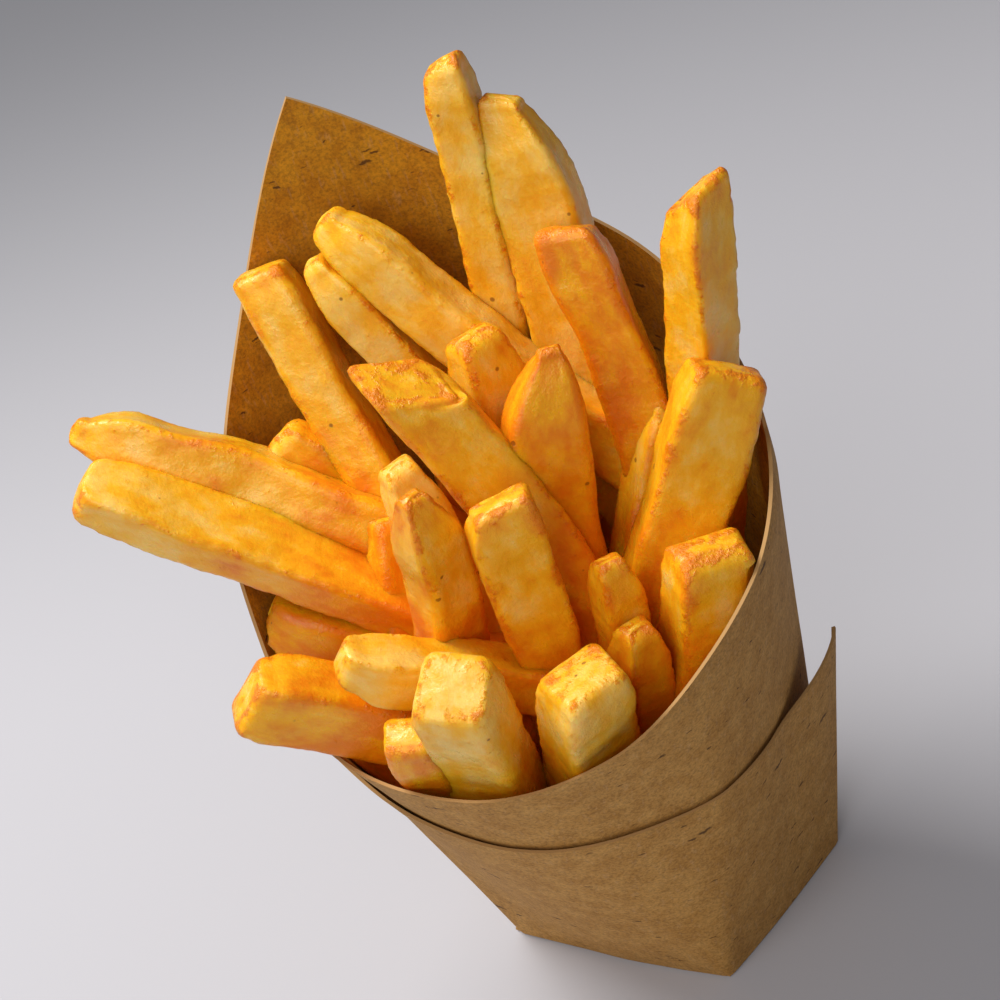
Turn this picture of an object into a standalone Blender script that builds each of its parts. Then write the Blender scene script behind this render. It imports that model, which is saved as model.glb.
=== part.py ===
"""French fries in a cone of rolled kraft card.

One sheet of card is rolled almost one and a half turns round a folded four-cornered base.
Its top corner stands up behind the fries as a tall back, and its free end stands off the
cone at the right as a pointed ear. The fries are one heap: a plain core that fills the
cone, with every fry that shows joined to it.

Metres, +Z up. The origin is the middle of the base, on the table. -Y is the low front of
the cone and +Y the tall back. Sizes below are in millimetres.
"""
import math
import random

import bmesh
import bpy
from mathutils import Vector

MM = 0.001

# The card and the cone that it is rolled into
CARD = 0.6                    # thickness of the card
LAYER_PITCH = 1.0             # how much further out the card lies after one full turn
ROLL_START = 190              # turning angle of the hidden inner end, in degrees
ROLL_PEAK = 449               # turning angle of the tall back corner
ROLL_END = 714                # turning angle of the free end, above the right base corner
BASE_CORNERS = ((26, -3), (-3, 20), (-26, 3), (3, -20))
CORNER_ROUND = (1, 2, 4.5, 1)           # how round each base corner is, on the table
CORNER_OPENING = (0, 0.35, 0.03, 0.35)  # how much rounder it is per mm of height
MOUTH_HEIGHT = 92             # up to here the card runs straight from the base to a circle
MOUTH_RADIUS = 42
MOUTH_CENTRE = (-7.5, -2.5)
SPREAD = (0.12, 0.03)         # how fast the circle still grows above the mouth, per mm
LEAN = (-0.12, -0.012)        # how fast its middle moves above the mouth, per mm
PEAK_HEIGHT = 146
INNER_EDGE = ((190, 74), (240, 73.5), (275, 77), (305, 88), (335, 95), (360, 100),
              (390, 112), (420, 123), (ROLL_PEAK, PEAK_HEIGHT))
OUTER_EDGE = ((ROLL_PEAK, PEAK_HEIGHT), (480, 113), (510, 91), (540, 69), (556, 60),
              (575, 58.5), (600, 55), (632, 54), (665, 51.5), (690, 50), (ROLL_END, 51))
EAR_START = 684               # from here to the free end the card stands off the cone
EAR_STANDOFF = 4.5            # at the ear's tip
TURN_STEP = 6                 # degrees between two columns of the card
CARD_ROWS = 7
FLOOR_THICKNESS = 0.9
CARD_FOOT = 0.3               # the sheet starts this high, inside the folded floor

# The heap of fries
CORE_GAP = 0.5                # between the core and the card
CORE_BOTTOM = 1.4
CORE_FRONT = 58               # height of the core at the front of the mouth
CORE_SLOPE = 0.32             # how fast the core rises towards the tall back
CORE_STEP = 12                # degrees between two columns of the core
CORE_ROWS = 4
CHAMFER = 0.2                 # of a fry's thickness, cut off its long edges
FOOT_TAPER = 0.8              # size of a fry's first section, against its full section
FOOT_LENGTH = 1.5
MIDDLE_RINGS = 4              # sections between a fry's ends
TIP_RINGS = 2                 # where it narrows
END_RINGS = 2                 # where its end is rounded
WIDTH_CLOSING = 0.9           # how much a fully round end takes off the width and the depth
DEPTH_CLOSING = 1.7
PRESS_GAP = 0.45              # left between the card and a fry that leans on it

# Every fry that shows: name, tip, foot, (width, depth, twist, bow), (point, lean, reach,
# rounding), (right cut, front cut). A twist of 0 turns the wide face to the front, and more
# turns it to the fry's right. A bow bends the fry to its right. Over its last reach the fry
# narrows to a share, point, of its section, and lean says to which side: -1 is its left edge
# and 1 its right. The end is rounded over that share, rounding, of its depth. The cuts say
# how much lower the tip's right and front sides lie.
FRIES = (
    ("back_tall", (10, 32, 149), (0, 16, 60),
     (8, 7.5, -28, 1), (0.8, 0.1, 6, 0.4), (-2, 0)),
    ("back_wide", (17.5, 28, 142), (10.5, 7, 58),
     (12, 8, -25, 0.5), (0.55, -0.5, 14, 0.35), (1, 0)),
    ("back_brown", (18, 14, 127), (17, -6, 64),
     (9.5, 8, -20, 2), (0.9, -0.2, 5, 0.3), (1, -1)),
    ("back_left_high", (-13.8, 33, 130), (18, 4, 87),
     (10, 8, -10, -1.5), (0.65, -0.5, 9, 0.4), (0, 0)),
    ("back_left_mid", (-18, 31, 124.5), (7, 12, 74),
     (8, 8, -10, -1), (0.65, -0.2, 8, 0.42), (0, 0)),
    ("back_left_low", (-26, 35, 123.5), (-13, 0, 64),
     (9, 9, -15, -1), (0.92, -0.2, 4, 0.22), (1, 0)),
    ("left_wall_stub", (-33, 22, 102), (-6, 14, 62),
     (11, 9, 0, 0), (0.7, 0.3, 8, 0.45), (0, 0)),
    ("left_inner", (-17, 5, 104), (-12, -1, 60),
     (8.5, 8, 20, 0), (0.75, 0, 6, 0.45), (0, 0)),
    ("left_gap", (-21, 8, 92), (-28, -3, 58),
     (8, 8, 10, 0), (0.8, 0, 5, 0.4), (0, 0)),
    ("right_tall", (36, 3, 134), (18.5, -4, 58),
     (9.5, 8.5, 35, 1), (0.85, 0.9, 8, 0.22), (-2, -4)),
    ("right_lean", (32, -10, 112), (-3, -17, 56),
     (13, 8.5, -15, 1), (0.92, 0.2, 4, 0.25), (0, -1)),
    ("right_pale", (24, 4, 99), (0, -12, 55),
     (9, 8, 10, 0), (0.8, 0, 5, 0.4), (0, 0)),
    ("right_front", (21, -26, 96), (9, -23, 54),
     (13.5, 9.5, 8, 1), (0.92, 0.2, 4, 0.4), (-1, 0)),
    ("middle_round", (0, 10, 118), (0, 3, 62),
     (10.5, 9, 25, 0), (0.8, -0.1, 7, 0.45), (0, 0)),
    ("middle_wide", (-12, 2, 121), (3, -14, 60),
     (12, 9, 5, 3), (0.92, -0.2, 5, 0.18), (6, 5)),
    ("middle_arch", (7.5, 0, 119), (0, -7, 54),
     (13, 9.5, 0, -2), (0.3, 0.4, 13, 0.4), (0, 0)),
    ("front_split", (-15, -14, 114), (-22, -6, 56),
     (9, 8, 30, 0.5), (0.55, -0.4, 10, 0.4), (0, 0)),
    ("front_tall", (-5, -18, 110.5), (-8, -14, 54),
     (10.5, 8, 0, 0.5), (0.85, 0.4, 5, 0.28), (-2, -1)),
    ("front_thin", (7, -22, 96.5), (3, -15, 50),
     (7.5, 7.5, 12, 0), (0.75, -0.2, 5, 0.45), (0, -1)),
    ("front_thin_low", (7, -28, 88), (2, -21, 52),
     (7.5, 7.5, 20, 0.5), (0.75, 0.2, 5, 0.45), (0, 0)),
    ("front_block_right", (-2.3, -36.5, 91.5), (-7, -25, 54),
     (12.5, 11.5, 25, 0), (0.94, 0, 3, 0.25), (0, -3)),
    ("front_block_left", (-20, -34, 96), (-19, -22, 56),
     (13, 11.5, -30, 0), (0.94, 0, 3, 0.2), (0, 2)),
    ("front_low", (-29, -28, 84), (-26, -18, 56),
     (9, 8.5, -20, 0), (0.85, 0, 4, 0.3), (0, 0)),
    ("front_lying", (-34, -18, 93), (3, -17, 68),
     (9, 8.5, -5, -1.5), (0.8, 0.2, 5, 0.4), (0, 0)),
    ("left_stub", (-49, -13, 88.5), (-17, -16, 65),
     (12, 10, -5, 0), (0.9, 0, 3, 0.25), (1, 0)),
    ("left_shaded", (-44, 10, 80), (-12, -2, 56),
     (12, 11, 10, 0), (0.8, 0, 6, 0.45), (0, 0)),
    ("left_long_high", (-60.5, 29, 112.5), (-2, 0, 70),
     (9, 8.5, 20, 3), (0.55, -0.4, 9, 0.4), (0, 0)),
    ("left_long_low", (-62, 19, 109.5), (-6, -4, 62),
     (8, 11, -22, 2), (0.88, 0, 5, 0.3), (0, 0)),
)

# The fries of the layer below, which only show in the gaps: set out on a spiral
UNDER_COUNT = 14
UNDER_SIZE = (9, 8.5)
UNDER_DEPTH = 34              # how deep their feet lie below the core's top
UNDER_RISE = 9                # how far their tips stand above it
GOLDEN_ANGLE = 137.5
SEED = 7


def curve_value(points, at):
    """Height of a smooth curve through points of (turn, height), without overshoot."""
    for index in range(len(points) - 1):
        if at <= points[index + 1][0]:
            break
    (start, low), (end, high) = points[index], points[index + 1]
    before = points[max(index - 1, 0)]
    after = points[min(index + 2, len(points) - 1)]
    slope = (high - low) / (end - start)
    enter = slope_between(before, points[index], slope)
    leave = slope_between(points[index + 1], after, slope)
    t = (at - start) / (end - start)
    span = end - start
    return ((2 * t ** 3 - 3 * t ** 2 + 1) * low + (t ** 3 - 2 * t ** 2 + t) * span * enter
            + (3 * t ** 2 - 2 * t ** 3) * high + (t ** 3 - t ** 2) * span * leave)


def slope_between(first, second, slope):
    """Slope at a shared point: the harmonic mean of both sides, or 0 where they turn."""
    if first == second:
        return slope
    other = (second[1] - first[1]) / (second[0] - first[0])
    if other * slope <= 0:
        return 0.0
    return 2 * other * slope / (other + slope)


def smooth_step(value):
    value = min(max(value, 0.0), 1.0)
    return value * value * (3 - 2 * value)


def corner_angles():
    """Turning angles of the base corners, in degrees from 0 to 360."""
    return [math.degrees(math.atan2(y, x)) % 360 for x, y in BASE_CORNERS]


def base_radius(angle, height):
    """Distance from the origin to the four-cornered outline, in one direction. It is the
    base's outline, with corners that grow rounder with the height above the table."""
    direction = Vector((math.cos(angle), math.sin(angle)))
    reaches = []
    for index, corner in enumerate(BASE_CORNERS):
        start = Vector(corner)
        side = Vector(BASE_CORNERS[(index + 1) % len(BASE_CORNERS)]) - start
        cross = direction.x * side.y - direction.y * side.x
        distance = (start.x * side.y - start.y * side.x) / cross
        reaches.append(distance if distance > 0 else math.inf)
    nearest = min(reaches)
    index = reaches.index(nearest)
    after = (index + 1) % len(BASE_CORNERS)
    radius = nearest
    for corner, other in ((index, reaches[index - 1]), (after, reaches[after])):
        soft = CORNER_ROUND[corner] + CORNER_OPENING[corner] * height
        overlap = max(soft - (other - nearest), 0) / soft
        radius -= overlap ** 2 * soft / 4
    return radius


def cone_point(turn, height, outward):
    """A point of the cone, moved outward by some millimetres."""
    angle = math.radians(turn)
    x, y = math.cos(angle), math.sin(angle)
    mouth_x = (MOUTH_RADIUS + outward) * x + MOUTH_CENTRE[0]
    mouth_y = (MOUTH_RADIUS + outward) * y + MOUTH_CENTRE[1]
    above = height - MOUTH_HEIGHT
    if above >= 0:
        mouth_x += (SPREAD[0] * x + LEAN[0]) * above
        mouth_y += (SPREAD[1] * y + LEAN[1]) * above
        return Vector((mouth_x, mouth_y, height))
    radius = base_radius(angle, height) + outward
    share = height / MOUTH_HEIGHT
    return Vector((radius * x * (1 - share) + mouth_x * share,
                   radius * y * (1 - share) + mouth_y * share, height))


def cone_middle(height):
    """The middle of the cone's round section at one height."""
    share = min(height / MOUTH_HEIGHT, 1)
    above = max(height - MOUTH_HEIGHT, 0)
    return Vector((MOUTH_CENTRE[0] * share + LEAN[0] * above,
                   MOUTH_CENTRE[1] * share + LEAN[1] * above, height))


def layer_offset(turn):
    """How far out the inner face of the card lies, at this point of the roll."""
    return 0.25 + LAYER_PITCH * (turn - ROLL_START) / 360


def ear_offset(turn, height):
    """How far the free end stands off the cone."""
    along = smooth_step((turn - EAR_START) / (ROLL_END - EAR_START))
    return EAR_STANDOFF * along * height / OUTER_EDGE[-1][1]


def edge_height(turn):
    """Height of the card's cut top edge."""
    if turn <= ROLL_PEAK:
        return curve_value(INNER_EDGE, turn)
    return curve_value(OUTER_EDGE, turn)


def roll_turns():
    """The turning angles of the card's columns: even steps, the peak and the base corners."""
    turns = {turn for turn in range(ROLL_START, ROLL_END, TURN_STEP)
             if abs(turn - ROLL_PEAK) > TURN_STEP / 2}
    turns |= {ROLL_PEAK, ROLL_END}
    for angle in corner_angles():
        turns |= {angle + 360 * lap for lap in range(3)}
    turns = sorted(turn for turn in turns if ROLL_START <= turn <= ROLL_END)
    return [turn for index, turn in enumerate(turns)
            if index == 0 or turn - turns[index - 1] > 1.0]


def new_object(name, mesh_maker, material):
    """Put the mesh that mesh_maker fills into a new named object."""
    bm = bmesh.new()
    mesh_maker(bm)
    bmesh.ops.recalc_face_normals(bm, faces=bm.faces)
    mesh = bpy.data.meshes.new(name)
    bm.to_mesh(mesh)
    bm.free()
    item = bpy.data.objects.new(name, mesh)
    bpy.context.scene.collection.objects.link(item)
    item.data.materials.append(material)
    return item


def plain_material(name, colour, roughness):
    material = bpy.data.materials.new(name)
    material.use_nodes = True
    shader = material.node_tree.nodes["Principled BSDF"]
    shader.inputs["Base Color"].default_value = (*colour, 1)
    shader.inputs["Roughness"].default_value = roughness
    shader.inputs["Metallic"].default_value = 0
    return material


def sheet_mesh(bm):
    """The rolled sheet: an inner and an outer face, closed round all four edges."""
    faces = []
    for thickness in (0, CARD):
        columns = []
        for turn in roll_turns():
            top = edge_height(turn)
            column = []
            for row in range(CARD_ROWS + 1):
                height = CARD_FOOT + (top - CARD_FOOT) * row / CARD_ROWS
                outward = layer_offset(turn) + ear_offset(turn, height) + thickness
                column.append(bm.verts.new(cone_point(turn, height, outward) * MM))
            columns.append(column)
        faces.append(columns)
    inner, outer = faces
    last = len(inner) - 1
    for index in range(last):
        for row in range(CARD_ROWS):
            for side in faces:
                bm.faces.new((side[index][row], side[index + 1][row],
                              side[index + 1][row + 1], side[index][row + 1]))
        for row in (0, CARD_ROWS):
            bm.faces.new((inner[index][row], inner[index + 1][row],
                          outer[index + 1][row], outer[index][row]))
    for index in (0, last):
        for row in range(CARD_ROWS):
            bm.faces.new((inner[index][row], outer[index][row],
                          outer[index][row + 1], inner[index][row + 1]))


def floor_mesh(bm):
    """The folded floor: a flat plate under both layers of the card."""
    outward = layer_offset(ROLL_END) + CARD + 0.1
    rings = []
    for height in (0, FLOOR_THICKNESS):
        ring = []
        for angle in sorted(corner_angles()):
            point = cone_point(angle, 0, outward)
            ring.append(bm.verts.new(Vector((point.x, point.y, height)) * MM))
        rings.append(ring)
    bm.faces.new(rings[0])
    bm.faces.new(rings[1])
    count = len(rings[0])
    for index in range(count):
        after = (index + 1) % count
        bm.faces.new((rings[0][index], rings[0][after], rings[1][after], rings[1][index]))


def core_height(point):
    """Top of the core: a slope that rises from the low front to the tall back."""
    front = MOUTH_CENTRE[1] - MOUTH_RADIUS
    return CORE_FRONT + CORE_SLOPE * (point.y - front)


def core_mesh(bm):
    """The hidden middle of the heap: it follows the card and has a sloping top."""
    columns = []
    for step in range(0, 360, CORE_STEP):
        top = core_height(cone_point(step, CORE_FRONT, -CORE_GAP))
        column = []
        for row in range(CORE_ROWS + 1):
            height = CORE_BOTTOM + (top - CORE_BOTTOM) * row / CORE_ROWS
            column.append(bm.verts.new(cone_point(step, height, -CORE_GAP) * MM))
        columns.append(column)
    for index, column in enumerate(columns):
        after = columns[(index + 1) % len(columns)]
        for row in range(CORE_ROWS):
            bm.faces.new((column[row], after[row], after[row + 1], column[row + 1]))
    bm.faces.new([column[0] for column in columns])
    bm.faces.new([column[CORE_ROWS] for column in columns])


def pressed_in(point):
    """Move a point that would lie in the card to the card's inner face."""
    middle = cone_middle(point.z)
    reach = point - middle
    aim = math.degrees(math.atan2(reach.y, reach.x))
    turn = aim
    for _ in range(4):
        wall = cone_point(turn, point.z, -PRESS_GAP) - middle
        turn += aim - math.degrees(math.atan2(wall.y, wall.x))
        turn = aim + (turn - aim + 180) % 360 - 180
    lap = turn % 360
    if point.z > edge_height(lap if lap >= ROLL_START else lap + 360) + 1:
        return point
    if reach.length <= wall.length:
        return point
    return middle + wall


def fry_section(width, depth):
    """The eight corners of a fry's cut section, with its long edges taken off."""
    cut = CHAMFER * min(width, depth)
    x, y = width / 2, depth / 2
    return ((x, y - cut), (x - cut, y), (cut - x, y), (-x, y - cut),
            (-x, cut - y), (cut - x, -y), (x - cut, -y), (x, cut - y))


def fry_stations(length, soft, point, reach):
    """Along a fry: how far up each section lies, its share of the taper, its size, and how
    far the rounded end has closed, from 0 to 1."""
    body = length - soft
    stations = [(0, 0, FOOT_TAPER, 0)]
    for ring in range(MIDDLE_RINGS):
        share = ring / (MIDDLE_RINGS - 1)
        stations.append((FOOT_LENGTH + (body - reach - FOOT_LENGTH) * share, 0, 1, 0))
    for ring in range(1, TIP_RINGS + 1):
        share = ring / TIP_RINGS
        stations.append((body - reach * (1 - share), share, 1 - (1 - point) * share ** 2, 0))
    for ring in range(1, END_RINGS + 1):
        angle = math.pi / 2 * ring / END_RINGS
        stations.append((body + soft * math.sin(angle), 1, point, 1 - math.cos(angle)))
    return stations


def fry_mesh(bm, tip, foot, section, end, cut):
    """One fry from foot to tip: a cut stick with softened edges and its own kind of tip."""
    width, depth, twist, bow = section
    point, lean, reach, rounding = end
    right_cut, front_cut = cut
    tip, foot = Vector(tip), Vector(foot)
    axis = (tip - foot).normalized()
    front = Vector((0, -1, 0))
    front = (front - axis * front.dot(axis)).normalized()
    side = axis.cross(front)
    turn = math.radians(twist)
    wide = side * math.cos(turn) - front * math.sin(turn)
    deep = front * math.cos(turn) + side * math.sin(turn)
    length = (tip - foot).length
    soft = rounding * depth * point
    rings = []
    for along, share, size, closed in fry_stations(length, soft, point, reach):
        middle = foot + axis * along + side * bow * math.sin(math.pi * along / length)
        middle += wide * width * lean * (1 - size) / 2
        across = size * (1 - WIDTH_CLOSING * rounding * closed)
        through = size * (1 - DEPTH_CLOSING * rounding * closed)
        ring = []
        for x, y in fry_section(width, depth):
            lower = (right_cut * x / width + front_cut * y / depth) * share
            corner = middle + wide * x * across + deep * y * through - axis * lower
            ring.append(bm.verts.new(pressed_in(corner) * MM))
        rings.append(ring)
    for low, high in zip(rings, rings[1:]):
        for index in range(len(low)):
            after = (index + 1) % len(low)
            bm.faces.new((low[index], low[after], high[after], high[index]))
    bm.faces.new(rings[0])
    bm.faces.new(rings[-1])


def under_fries():
    """The layer below: short fries on a spiral over the core, leaning a little outward."""
    draw = random.Random(SEED)
    for index in range(UNDER_COUNT):
        turn = math.radians(index * GOLDEN_ANGLE)
        share = math.sqrt((index + 0.5) / UNDER_COUNT)
        reach = (MOUTH_RADIUS - 9) * share
        spot = Vector((MOUTH_CENTRE[0] + reach * math.cos(turn),
                       MOUTH_CENTRE[1] + reach * math.sin(turn), 0))
        tip = Vector((spot.x, spot.y, core_height(spot) + UNDER_RISE + draw.uniform(-3, 3)))
        foot = Vector((spot.x * 0.7, spot.y * 0.7, core_height(spot) - UNDER_DEPTH))
        section = (*UNDER_SIZE, draw.uniform(-45, 45), 0)
        yield tip, foot, section, (0.85, 0, 4, 0.3), (0, 0)


def apply_modifiers(item):
    """Swap an object's mesh for its evaluated one and drop its modifiers."""
    graph = bpy.context.evaluated_depsgraph_get()
    solid = bpy.data.meshes.new_from_object(item.evaluated_get(graph))
    item.modifiers.clear()
    item.data = solid


def keep_largest_body(item):
    """Drop loose scraps and sealed hollows: only the body with the most corners stays."""
    bm = bmesh.new()
    bm.from_mesh(item.data)
    bmesh.ops.remove_doubles(bm, verts=bm.verts, dist=1e-6)
    bmesh.ops.dissolve_degenerate(bm, edges=bm.edges, dist=1e-6)
    bm.verts.ensure_lookup_table()
    seen = set()
    bodies = []
    for start in bm.verts:
        if start in seen:
            continue
        body = {start}
        todo = [start]
        while todo:
            vert = todo.pop()
            for edge in vert.link_edges:
                other = edge.other_vert(vert)
                if other not in body:
                    body.add(other)
                    todo.append(other)
        seen |= body
        bodies.append(body)
    bodies.sort(key=len, reverse=True)
    for body in bodies[1:]:
        bmesh.ops.delete(bm, geom=list(body), context="VERTS")
    bmesh.ops.triangulate(bm, faces=bm.faces)
    bm.to_mesh(item.data)
    bm.free()


def unite(item, others, solver):
    """Join the others to item by one Boolean union, then remove them."""
    group = bpy.data.collections.new(item.name + "_pieces")
    bpy.context.scene.collection.children.link(group)
    for other in others:
        bpy.context.scene.collection.objects.unlink(other)
        group.objects.link(other)
    union = item.modifiers.new("union", "BOOLEAN")
    union.operation = "UNION"
    union.solver = solver
    union.operand_type = "COLLECTION"
    union.collection = group
    apply_modifiers(item)
    for other in others:
        bpy.data.objects.remove(other)
    bpy.data.collections.remove(group)
    keep_largest_body(item)


def build_wrapper():
    card = plain_material("kraft_card", (0.33, 0.23, 0.13), 0.85)
    wrapper = new_object("wrapper", sheet_mesh, card)
    floor = new_object("wrapper_floor", floor_mesh, card)
    unite(wrapper, [floor], "EXACT")


def build_fries():
    golden = plain_material("fried_potato", (0.83, 0.48, 0.09), 0.5)
    heap = new_object("fries", core_mesh, golden)
    pieces = []
    shapes = [shape for _, *shape in FRIES] + list(under_fries())
    for shape in shapes:
        pieces.append(new_object("fry", lambda bm: fry_mesh(bm, *shape), golden))
    unite(heap, pieces, "MANIFOLD")


for leftover in list(bpy.data.objects):
    bpy.data.objects.remove(leftover)
build_wrapper()
build_fries()
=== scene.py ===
"""French fries in a cone of rolled kraft card: the looks.

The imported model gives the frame. This script hides its two plain solids and builds the real
card cone and every fry in their place, then adds a floor, soft light and the photo's camera.
Metres, +Z up, -Y towards the low front of the cone. Shape sizes are given in millimetres.
"""
import math
import random

import bmesh
import bpy
from mathutils import Matrix, Vector, noise


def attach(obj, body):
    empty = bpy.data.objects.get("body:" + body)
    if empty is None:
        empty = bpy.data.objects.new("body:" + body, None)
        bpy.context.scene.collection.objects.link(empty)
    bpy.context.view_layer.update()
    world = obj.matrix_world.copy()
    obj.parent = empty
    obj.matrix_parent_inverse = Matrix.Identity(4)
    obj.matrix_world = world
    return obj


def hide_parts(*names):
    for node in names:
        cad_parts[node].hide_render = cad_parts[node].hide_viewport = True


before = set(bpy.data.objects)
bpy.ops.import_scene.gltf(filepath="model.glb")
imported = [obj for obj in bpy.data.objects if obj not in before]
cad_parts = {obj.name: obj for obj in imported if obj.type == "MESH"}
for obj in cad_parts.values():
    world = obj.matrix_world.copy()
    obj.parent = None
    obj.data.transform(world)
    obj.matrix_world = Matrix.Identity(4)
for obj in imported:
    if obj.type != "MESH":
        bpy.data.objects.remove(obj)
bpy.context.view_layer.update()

MM = 0.001


# The camera looks down at the front of the cone through a long lens, tilted a little, so
# that the whole cone leans to the left in the picture.
VIEW_TARGET = Vector((-4.5, 15.1, 81.2))
VIEW_DISTANCE = 498.8
VIEW_ELEVATION = 42
VIEW_ROLL = -20.55
SENSOR = 36
LENS = 117.35


def add_camera():
    elevation = math.radians(VIEW_ELEVATION)
    back = Vector((0, -math.cos(elevation), math.sin(elevation)))
    right = Vector((1, 0, 0))
    up = back.cross(right)
    level = Matrix((right, up, back)).transposed()
    camera = bpy.data.cameras.new("camera")
    camera.sensor_width = SENSOR
    camera.lens = LENS
    item = bpy.data.objects.new("camera", camera)
    bpy.context.scene.collection.objects.link(item)
    turned = level @ Matrix.Rotation(math.radians(VIEW_ROLL), 3, "Z")
    item.matrix_world = (Matrix.Translation((VIEW_TARGET + back * VIEW_DISTANCE) * MM)
                         @ turned.to_4x4())
    bpy.context.scene.camera = item
    bpy.context.scene.view_settings.view_transform = "Standard"


add_camera()


# The floor is a wide matt board, light grey, with painted shade that darkens it a little
# towards the back in place of the lamps' falloff. One large soft lamp stands at the back on
# the left, a weaker one in front, and the room is dim.
FLOOR_SIZE = 6.0
FLOOR_LIGHT = (0.487, 0.483, 0.517, 1)
FLOOR_PAINTED_SHADE = (0.168, 0.17, 0.186, 1)
FLOOR_SHADE_START = 0.08
FLOOR_SHADE_END = 0.36
LAMP_AIM = Vector((0, 0, 0.07))
LAMPS = (
    ("window", (-0.29, 0.24, 0.72), 0.34, 6.8, (1.0, 0.98, 0.95)),
    ("fill", (-0.32, -0.52, 0.66), 0.6, 3.5, (1.0, 0.98, 0.96)),
)
ROOM_COLOUR = (0.93, 0.94, 1.0, 1)
ROOM_STRENGTH = 0.16


def add_node(tree, kind, **settings):
    """A shader node with its properties and unlinked sockets set by name."""
    made = tree.nodes.new(kind)
    for name, value in settings.items():
        if hasattr(made, name):
            setattr(made, name, value)
        else:
            made.inputs[name.replace("_", " ")].default_value = value
    return made


def blend_colours(tree, share, first, second):
    """Mix two colours. Each argument is a socket or a plain value."""
    made = add_node(tree, "ShaderNodeMix", data_type="RGBA")
    for index, value in ((0, share), (6, first), (7, second)):
        if isinstance(value, bpy.types.NodeSocket):
            tree.links.new(value, made.inputs[index])
        else:
            made.inputs[index].default_value = value
    return made.outputs[2]


def sums(tree, operation, first, second, clamp=False):
    """A Math node. Each argument is a socket or a number."""
    made = add_node(tree, "ShaderNodeMath", operation=operation, use_clamp=clamp)
    for index, value in enumerate((first, second)):
        if isinstance(value, bpy.types.NodeSocket):
            tree.links.new(value, made.inputs[index])
        else:
            made.inputs[index].default_value = value
    return made.outputs[0]


def ramp(tree, value, low, high):
    """0 below low, 1 above high, and smooth between them."""
    made = add_node(tree, "ShaderNodeMapRange", interpolation_type="SMOOTHSTEP")
    tree.links.new(value, made.inputs["Value"])
    made.inputs["From Min"].default_value = low
    made.inputs["From Max"].default_value = high
    return made.outputs["Result"]


def new_material(name):
    """An empty material: its node tree, and the Principled shader that it starts with."""
    material = bpy.data.materials.new(name)
    material.use_nodes = True
    return material, material.node_tree, material.node_tree.nodes["Principled BSDF"]


def floor_material():
    material, tree, shader = new_material("floor_board")
    place = add_node(tree, "ShaderNodeTexCoord")
    split = add_node(tree, "ShaderNodeSeparateXYZ")
    tree.links.new(place.outputs["Object"], split.inputs[0])
    # The board's colour turns to painted shade towards the back.
    far = ramp(tree, split.outputs["Y"], FLOOR_SHADE_START, FLOOR_SHADE_END)
    colour = blend_colours(tree, far, FLOOR_LIGHT, FLOOR_PAINTED_SHADE)
    tree.links.new(colour, shader.inputs["Base Color"])
    shader.inputs["Roughness"].default_value = 0.75
    return material


def add_floor():
    bm = bmesh.new()
    bmesh.ops.create_grid(bm, x_segments=1, y_segments=1, size=FLOOR_SIZE / 2)
    mesh = bpy.data.meshes.new("floor")
    bm.to_mesh(mesh)
    bm.free()
    floor = bpy.data.objects.new("floor", mesh)
    bpy.context.scene.collection.objects.link(floor)
    mesh.materials.append(floor_material())


def add_lamps():
    for name, place, size, power, colour in LAMPS:
        lamp = bpy.data.lights.new(name, "AREA")
        lamp.size = size
        lamp.energy = power
        lamp.color = colour
        item = bpy.data.objects.new(name, lamp)
        bpy.context.scene.collection.objects.link(item)
        item.location = place
        aim = LAMP_AIM - item.location
        item.rotation_euler = aim.to_track_quat("-Z", "Y").to_euler()
    room = bpy.data.worlds.new("room")
    bpy.context.scene.world = room
    room.use_nodes = True
    room.node_tree.nodes["Background"].inputs["Color"].default_value = ROOM_COLOUR
    room.node_tree.nodes["Background"].inputs["Strength"].default_value = ROOM_STRENGTH


add_floor()
add_lamps()


# The cone is one sheet of brown kraft card, half a millimetre thick, rolled almost one and a
# half turns round a folded four-cornered base. The tall back is one corner of the sheet, and its
# free end stands off at the right as an ear. Its cut edges show the middle of the card.
CARD = 0.55
LAYER_PITCH = 1.0
ROLL_START = 190
ROLL_PEAK = 449
ROLL_END = 714
BASE_CORNERS = ((26, -3), (-3, 20), (-26, 3), (3, -20))
CORNER_ROUND = (1, 2, 4.5, 1)
CORNER_OPENING = (0, 0.35, 0.03, 0.35)
MOUTH_HEIGHT = 92
MOUTH_RADIUS = 42
MOUTH_CENTRE = (-7.5, -2.5)
SPREAD = (0.12, 0.03)
LEAN = (-0.12, -0.012)
PEAK_HEIGHT = 146
INNER_EDGE = ((190, 74), (240, 73.5), (275, 77), (305, 88), (335, 95), (360, 100),
              (390, 112), (420, 123), (ROLL_PEAK, PEAK_HEIGHT))
OUTER_EDGE = ((ROLL_PEAK, PEAK_HEIGHT), (480, 113), (510, 91), (540, 69), (556, 60),
              (575, 58.5), (600, 55), (632, 54), (665, 51.5), (690, 50), (ROLL_END, 51))
EAR_START = 684
EAR_STANDOFF = 4.5
TURN_STEP = 2
CARD_ROWS = 44
CARD_FOOT = 0.35
CARD_WAVE = 0.1
CARD_WAVE_TURN = 22
CARD_WAVE_HEIGHT = 26
FIRST_LAYER = 0.27
FLOOR_THICKNESS = 0.85
FLOOR_BEVEL = (0.3, 0.5)
FOLD_ANGLE = 35
CARD_OUTSIDE = ((0.60, 0.32, 0.083, 1), (0.46, 0.22, 0.045, 1))
CARD_INSIDE = ((0.70, 0.33, 0.014, 1), (0.52, 0.21, 0.006, 1))
CARD_CUT = (0.44, 0.25, 0.09, 1)
FLECK_DARK = (0.075, 0.03, 0.009, 1)
FIBRE_PALE = (0.62, 0.38, 0.17, 1)
FIBRE_SHARE = 0.3
TOOTH_SHADE = 0.5
FLECK_SHADE = 0.85
FLECK_SHARE_OUTSIDE = 0.10
FLECK_SHARE_INSIDE = 0.16
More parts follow.
